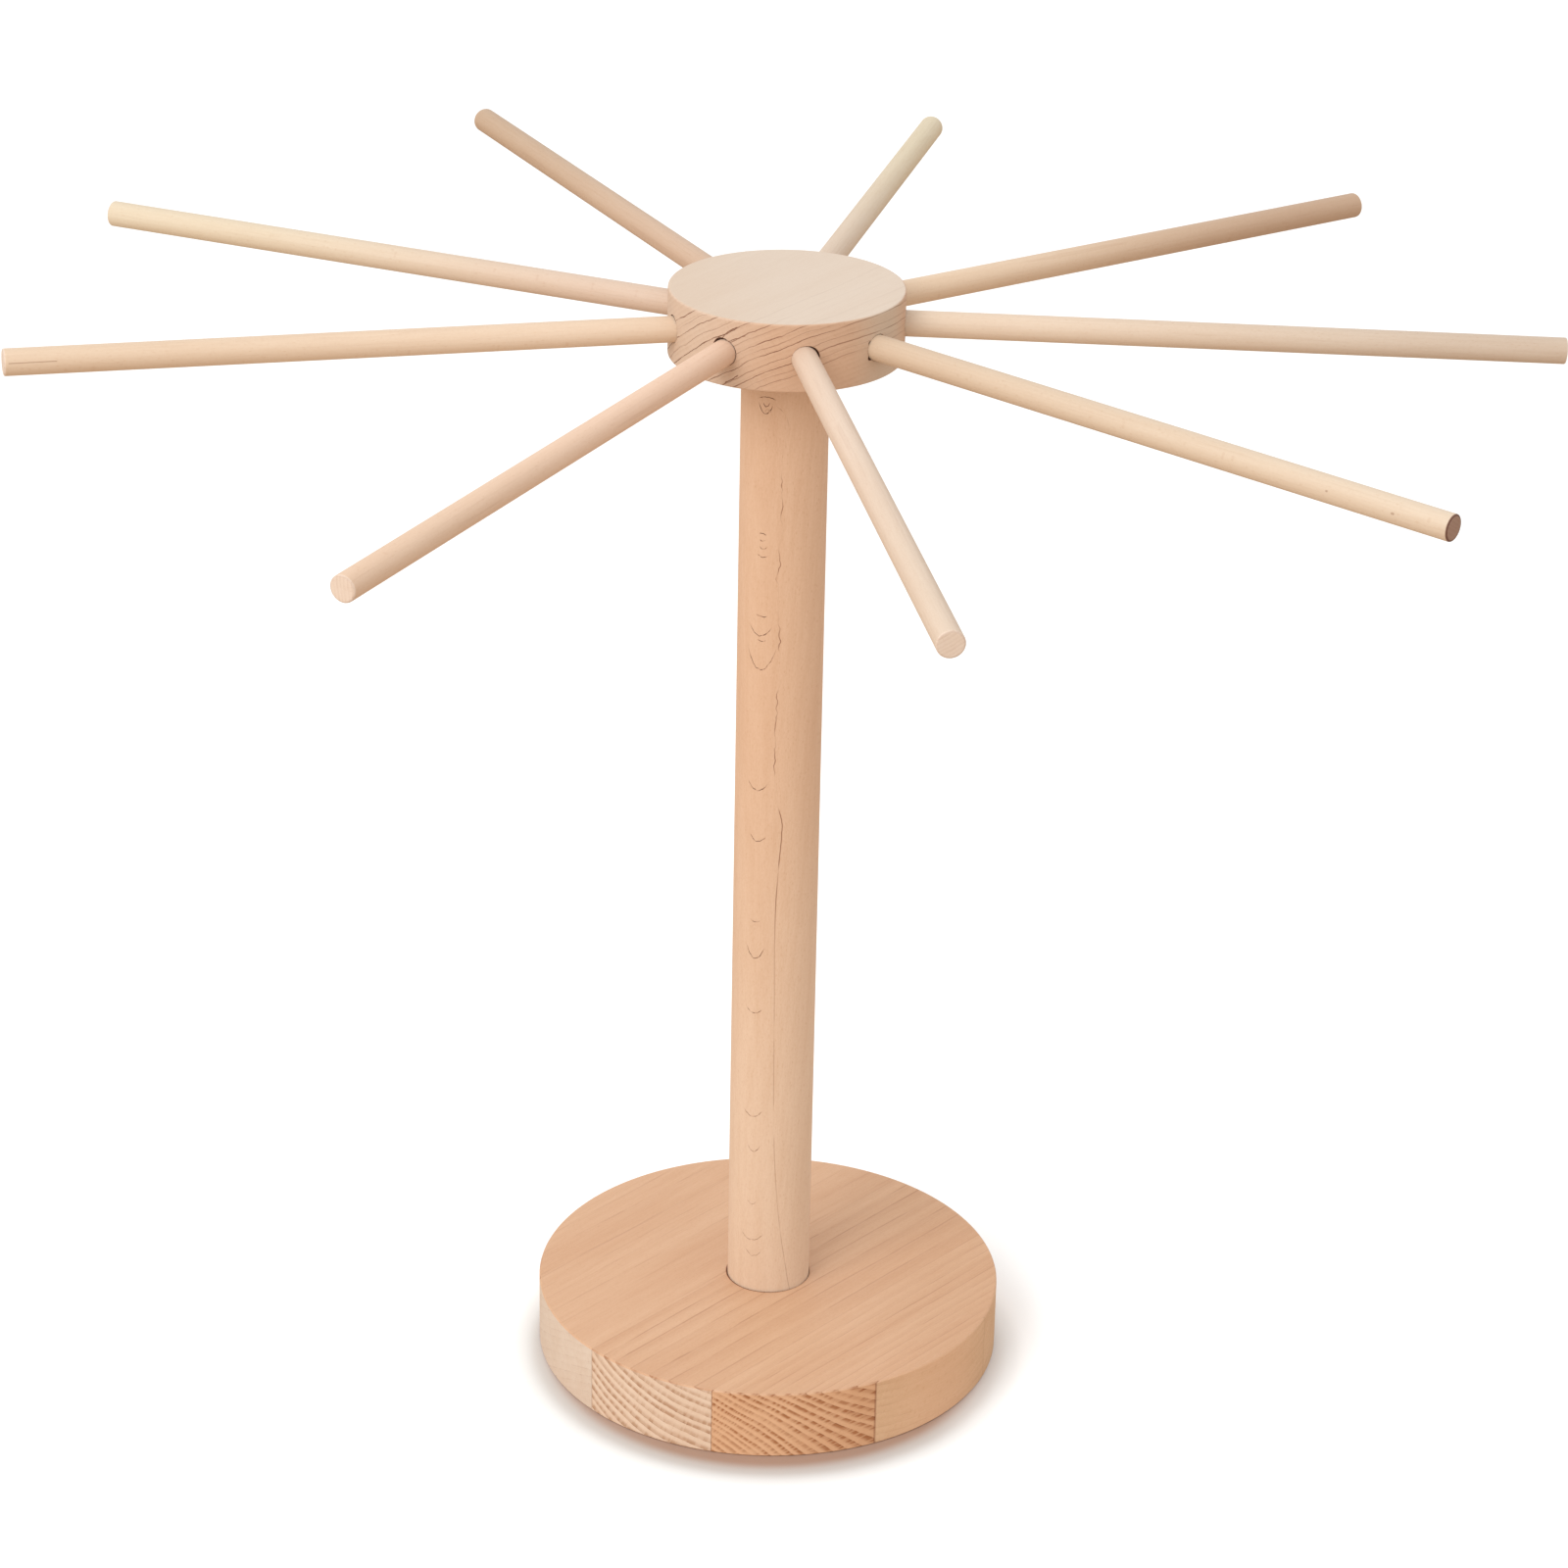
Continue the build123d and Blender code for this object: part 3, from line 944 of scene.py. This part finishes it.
# Partly painted warm reflected light: the rim's colours are browner than the top's, and the front of the
# rim browner than its left; the rest is the wood's own tone.
rim_face_colour = (0.56, 0.425, 0.315, 1.0)
top_face_colour = (0.607, 0.50, 0.405, 1.0)
top_left_colour = (0.593, 0.467, 0.362, 1.0)
rim_left_colour = (0.596, 0.444, 0.335, 1.0)
rim_front_colour = (0.575, 0.374, 0.252, 1.0)


def hub_marks(tree, point, normal):
    """The dark ring lines, weaker to the right and faint on the top, short checks from one hole's
    edge, and the holes' torn mouths with painted shadow in their gaps. A check is a line between two places
    on the rim, unrolled. The rim is browner than the top, and browner in front than on the left, partly the
    wood's tone and partly painted warm reflected light; the top's left side is browner too."""
    rings = group_node(tree, ring_line_group, {"Point": point})["Mark"]
    flat = calc(tree, "ABSOLUTE", axes_of(tree, normal)["Z"])
    top_lines = ramp(tree, axes_of(tree, point)["Y"], 0.104, 0.119, 0.14, 0.0)
    clear = calc(tree, "MULTIPLY_ADD", calc(tree, "SUBTRACT", top_lines, 1.0), flat, 1.0)
    own = axes_of(tree, own_point(tree))
    clear = calc(tree, "MULTIPLY", clear, ramp(tree, own["X"], -0.012, 0.02, 1.0, 0.62))
    lines = calc(tree, "MULTIPLY", rings, clear)
    turn = calc(tree, "MULTIPLY", calc(tree, "ARCTAN2", own["Y"], own["X"]), hub_radius)
    bend = calc(tree, "MULTIPLY_ADD", noise(tree, point, (500, 500, 500), 2.0), 1.2 * mm, -0.6 * mm)
    height = calc(tree, "ADD", own["Z"], bend)
    place = add_node(tree, "CombineXYZ", {"X": turn, "Y": height}).outputs[0]
    for ends in hub_checks:
        start, end = (
            Vector((np.radians(azimuth) * hub_radius, level * mm, 0.0)) for azimuth, level in ends
        )
        check = calc(tree, "MULTIPLY", streak(tree, place, start, end, check_width), check_strength)
        lines = calc(tree, "MAXIMUM", lines, check)
    rough = calc(tree, "MULTIPLY_ADD", noise(tree, point, (900, 900, 900), 1.0), 0.3 * mm, -0.15 * mm)
    place = add_node(tree, "CombineXYZ", {"X": turn, "Y": calc(tree, "ADD", own["Z"], rough)}).outputs[0]
    # Painted shadow, in part: dark crescents at the sockets' mouths, where the gap round each dowel lies.
    for number, tears in torn_mouths_and_gap_shade.items():
        spoke, middle, slope, socket_radius = socket_line(number)
        mouth = middle + slope * (hub_radius - middle[0]) / slope[0]
        mouth[1:] += np.array(mouth_drifts.get(number, (0.0, 0.0))) * mm
        out = spoke @ mouth
        for side, spread, width in tears:
            wires = {
                "Place": place,
                "Centre": (np.arctan2(out[1], out[0]) * hub_radius, mouth[2] + hub_middle, 0.0),
                "Radius": socket_radius + mouth_break + tear_gap,
                "Turn": np.radians(side),
                "Spread": np.radians(spread),
                "Width": width * mm,
            }
            lines = calc(tree, "MAXIMUM", lines, group_node(tree, torn_mouth_shade_group, wires)["Mark"])
    # The rim's colours carry painted warm reflected light, browner in front than on the left.
    sides = mixed(tree, ramp(tree, own["X"], -0.036, -0.008), rim_left_colour, rim_front_colour)
    tops = mixed(tree, ramp(tree, own["X"], -0.045, 0.005), top_left_colour, top_face_colour)
    faces = mixed(tree, flat, rim_face_colour, tops)
    return {"Mark": lines, "Face Colour": faces, "End Colour": sides}


hub_values = {
    "First Ring": 203.0 * mm,
    "Ring Spacing": 1.7 * mm,
    "Ring Wobble": 1.2 * mm,
    "Line Share": 0.2,
    "Pith Distance": 220 * mm,
    "Summer Strength": 0.1,
    "Line Strength": 0.15,
    "Face Share": 0.08,
    "Ray Strength": 0.2,
    "Ray Breaks": 0.5,
    "Fibre Strength": 0.2,
    "Cloud Strength": 0.2,
}
hub_finish = beech("hub_beech", hub_pith, (0.0, 0.0, hub_heading), hub_values, hub_marks)
hub_piece = sewn("hub_block", hub_sheets, hub_finish)
stands_for(hub_piece, "hub", "hub")


# Dowels: nine lengths of beech rod, sawn square with lightly eased ends, each pushed into its socket and
# leaning there. Their grain runs straight, and the sawn ends differ in tone.

dowel_easing = 0.7 * mm
dowel_around = 64
dowel_pith_distance = 80 * mm
pith_step = 2.1
dowel_tones = {
    1: ((0.65, 0.51, 0.405, 1.0), (0.63, 0.514, 0.409, 1.0)),
    2: ((0.59, 0.458, 0.336, 1.0), (0.646, 0.529, 0.406, 1.0)),
    3: ((0.674, 0.54, 0.418, 1.0), (0.547, 0.441, 0.347, 1.0)),
    4: ((0.684, 0.525, 0.381, 1.0), (0.492, 0.344, 0.239, 1.0)),
    5: ((0.614, 0.495, 0.392, 1.0), (0.629, 0.542, 0.391, 1.0)),
    6: ((0.549, 0.395, 0.288, 1.0), (0.491, 0.354, 0.245, 1.0)),
    7: ((0.607, 0.47, 0.372, 1.0), (0.649, 0.556, 0.419, 1.0)),
    8: ((0.696, 0.54, 0.404, 1.0), (0.647, 0.499, 0.366, 1.0)),
    9: ((0.72, 0.515, 0.387, 1.0), (0.675, 0.5, 0.37, 1.0)),
}
dowel_values = {
    "First Ring": 0.0,
    "Ring Spacing": 1.3 * mm,
    "Ring Wobble": 1.5 * mm,
    "Line Share": 0.2,
    "Pith Distance": dowel_pith_distance,
    "Summer Strength": 0.13,
    "Line Strength": 0.2,
    "Face Share": 0.5,
    "Ray Strength": 0.25,
    "Ray Breaks": 0.3,
    "Fibre Strength": 0.35,
    "Cloud Strength": 0.5,
}
dark_ends = {2: (0.32, 0.20, 0.148, 1.0), 6: (0.47, 0.33, 0.245, 1.0)}
plain_end = (0.70, 0.583, 0.487, 1.0)
end_edges = {2: 0.75}
plain_edge = 0.12
streak_strength = 0.45
dowel_streaks = {
    2: (
        ((152.8, -174.6, 417.3), (153.0, -174.8, 417.3), 0.5),
        ((169.9, -193.2, 416.0), (170.3, -193.6, 416.0), 0.6),
    ),
    8: (((-273.0, -43.0, 428.9), (-257.0, -40.8, 428.5), 0.25),),
}
for number in range(1, socket_count + 1):
    name = f"dowel_{number}"
    turn, low, high = rod_frame(number)
    middle, radius = (low + high) / 2, (high[0] - low[0]) / 2
    outline = eased(
        (0, low[2], 0), (radius, low[2], dowel_easing), (radius, high[2], dowel_easing), (0, high[2], 0)
    )
    sheet = (turned(outline, dowel_around) + middle * (1, 1, 0)) @ turn.T
    pith_turn = number * pith_step
    side = dowel_pith_distance * np.array([np.cos(pith_turn), np.sin(pith_turn), 0.0])
    pith = turn @ (middle + side)
    grain_turn = pulls[name].to_track_quat("X", "Z").to_euler()
    values = {**dowel_values, "End Colour": dark_ends.get(number, plain_end)}
    root_colour, tip_colour = dowel_tones[number]
    centre = Matrix(grain_turn.to_matrix()).inverted() @ Vector(-turn @ side)

    def dowel_marks(tree, point, normal):
        """The rod's colour, which changes slowly from its root to its tip, a darker edge round its sawn
        end, and its own small streaks and specks."""
        colour = mixed(tree, ramp(tree, axes_of(tree, point)["X"], -0.1, 0.1), root_colour, tip_colour)
        off = vector_calc(tree, "SUBTRACT", point, centre)
        distance = vector_calc(tree, "LENGTH", vector_calc(tree, "MULTIPLY", off, (0.0, 1.0, 1.0)))
        end = ramp(tree, calc(tree, "ABSOLUTE", axes_of(tree, normal)["X"]), 0.2, 0.8)
        depth = end_edges.get(number, plain_edge)
        edge = ramp(tree, distance, radius - 0.9 * mm, radius - 0.45 * mm, 0.0, depth)
        mark = calc(tree, "MULTIPLY", edge, end)
        own = own_point(tree)
        for start, stop, width in dowel_streaks.get(number, ()):
            made = streak(tree, own, Vector(start) * mm, Vector(stop) * mm, width * mm)
            mark = calc(tree, "MAXIMUM", mark, calc(tree, "MULTIPLY", made, streak_strength))
        return {"Mark": mark, "Face Colour": colour}

    finish = beech(name + "_beech", pith, grain_turn, values, dowel_marks)
    rod = sewn(f"dowel_rod_{number}", [sheet], finish)
    stands_for(rod, name, name)


# Floor: a plain white sheet that the rack stands on. A contact shadow is painted on it round the base,
# brownish close in and grey further out and weaker at the sides, and it throws back less and warmer light
# than it shows, which keeps the undersides dark.

floor_side = 40.0
base_outline = np.concatenate([corners_of(name)[:, :2] for name in stave_figures])
shade_centre = (-0.0016, -0.011, 0.0)
shade_radius = float(np.linalg.norm(base_outline, axis=1).max()) - 6.2 * mm
shade_steps = (
    (14.5, 10.0, (0.75, 0.755, 0.745, 1.0)),
    (8.5, 7.0, (0.545, 0.51, 0.48, 1.0)),
    (2.4, 7.0, (0.395, 0.265, 0.20, 1.0)),
)
bounce_tone = (0.60, 0.47, 0.36, 1.0)
open_tone = (0.98, 0.975, 0.965, 1.0)
sheet_mesh = bpy.data.meshes.new("floor")
half = floor_side / 2
corners = [(-half, -half, 0), (half, -half, 0), (half, half, 0), (-half, half, 0)]
sheet_mesh.from_pydata(corners, [], [(0, 1, 2, 3)])
floor = bpy.data.objects.new("floor", sheet_mesh)
bpy.context.scene.collection.objects.link(floor)
paper = bpy.data.materials.new("white_sheet")
paper.use_nodes = True
tree = paper.node_tree
shader = tree.nodes["Principled BSDF"]
shader.inputs["Roughness"].default_value = 0.9
shader.inputs["Specular IOR Level"].default_value = 0.1
own = own_point(tree)
level = vector_calc(tree, "MULTIPLY", vector_calc(tree, "SUBTRACT", own, shade_centre), (1.0, 1.0, 0.0))
distance = vector_calc(tree, "LENGTH", level)
# Painted shadow: rings of darker, browner tone round the base, each step a reach, a width and a colour.
tone = open_tone
for reach, width, colour in shade_steps:
    low = shade_radius + (reach - width / 2) * mm
    tone = mixed(tree, ramp(tree, distance, low, low + width * mm, 1.0, 0.0), tone, colour)
# The painted shadow fades out on the right, and a little on the left.
right = axes_of(tree, own)["X"]
right_loss, left_loss = ramp(tree, right, 0.045, 0.09, 0.0, 0.4), ramp(tree, right, -0.1, -0.04, 0.12, 0.0)
tone = mixed(tree, calc(tree, "ADD", right_loss, left_loss), tone, open_tone)
seen = add_node(tree, "LightPath").outputs["Is Camera Ray"]
tree.links.new(mixed(tree, seen, bounce_tone, tone), shader.inputs["Base Color"])
sheet_mesh.materials.append(paper)


# Light: an even white surround and one large soft lamp from the upper left, in front.

surround = bpy.data.worlds.new("surround")
surround.use_nodes = True
surround.node_tree.nodes["Background"].inputs["Color"].default_value = (1.0, 1.0, 1.0, 1.0)
surround.node_tree.nodes["Background"].inputs["Strength"].default_value = 1.06
bpy.context.scene.world = surround


def soft_lamp(name, place, aim, width, power):
    """A square area lamp at a place, turned to a point."""
    lamp = bpy.data.lights.new(name, "AREA")
    lamp.size = width
    lamp.energy = power
    lamp_object = bpy.data.objects.new(name, lamp)
    lamp_object.location = place
    lamp_object.rotation_euler = (Vector(aim) - Vector(place)).to_track_quat("-Z", "Y").to_euler()
    bpy.context.scene.collection.objects.link(lamp_object)


soft_lamp("key", place=(-1.6, -1.4, 1.9), aim=(0.0, 0.0, 0.25), width=1.6, power=36.0)
bpy.context.scene.view_settings.view_transform = "Standard"


# Camera: a long lens, a little above the hub and looking down, as in the photograph.

lens = bpy.data.cameras.new("camera")
lens.sensor_width = 36.0
lens.lens = 102.04
lens.clip_end = 100.0
camera = bpy.data.objects.new("camera", lens)
heading, dip, roll = (np.radians(angle) for angle in (-8.762, 24.818, 1.156))
camera.location = (-0.2276, -1.4924, 0.9370)
aim = Matrix.Rotation(heading, 3, "Z") @ Matrix.Rotation(np.pi / 2 - dip, 3, "X")
camera.rotation_euler = (aim @ Matrix.Rotation(roll, 3, "Z")).to_euler()
bpy.context.scene.collection.objects.link(camera)
bpy.context.scene.camera = camera
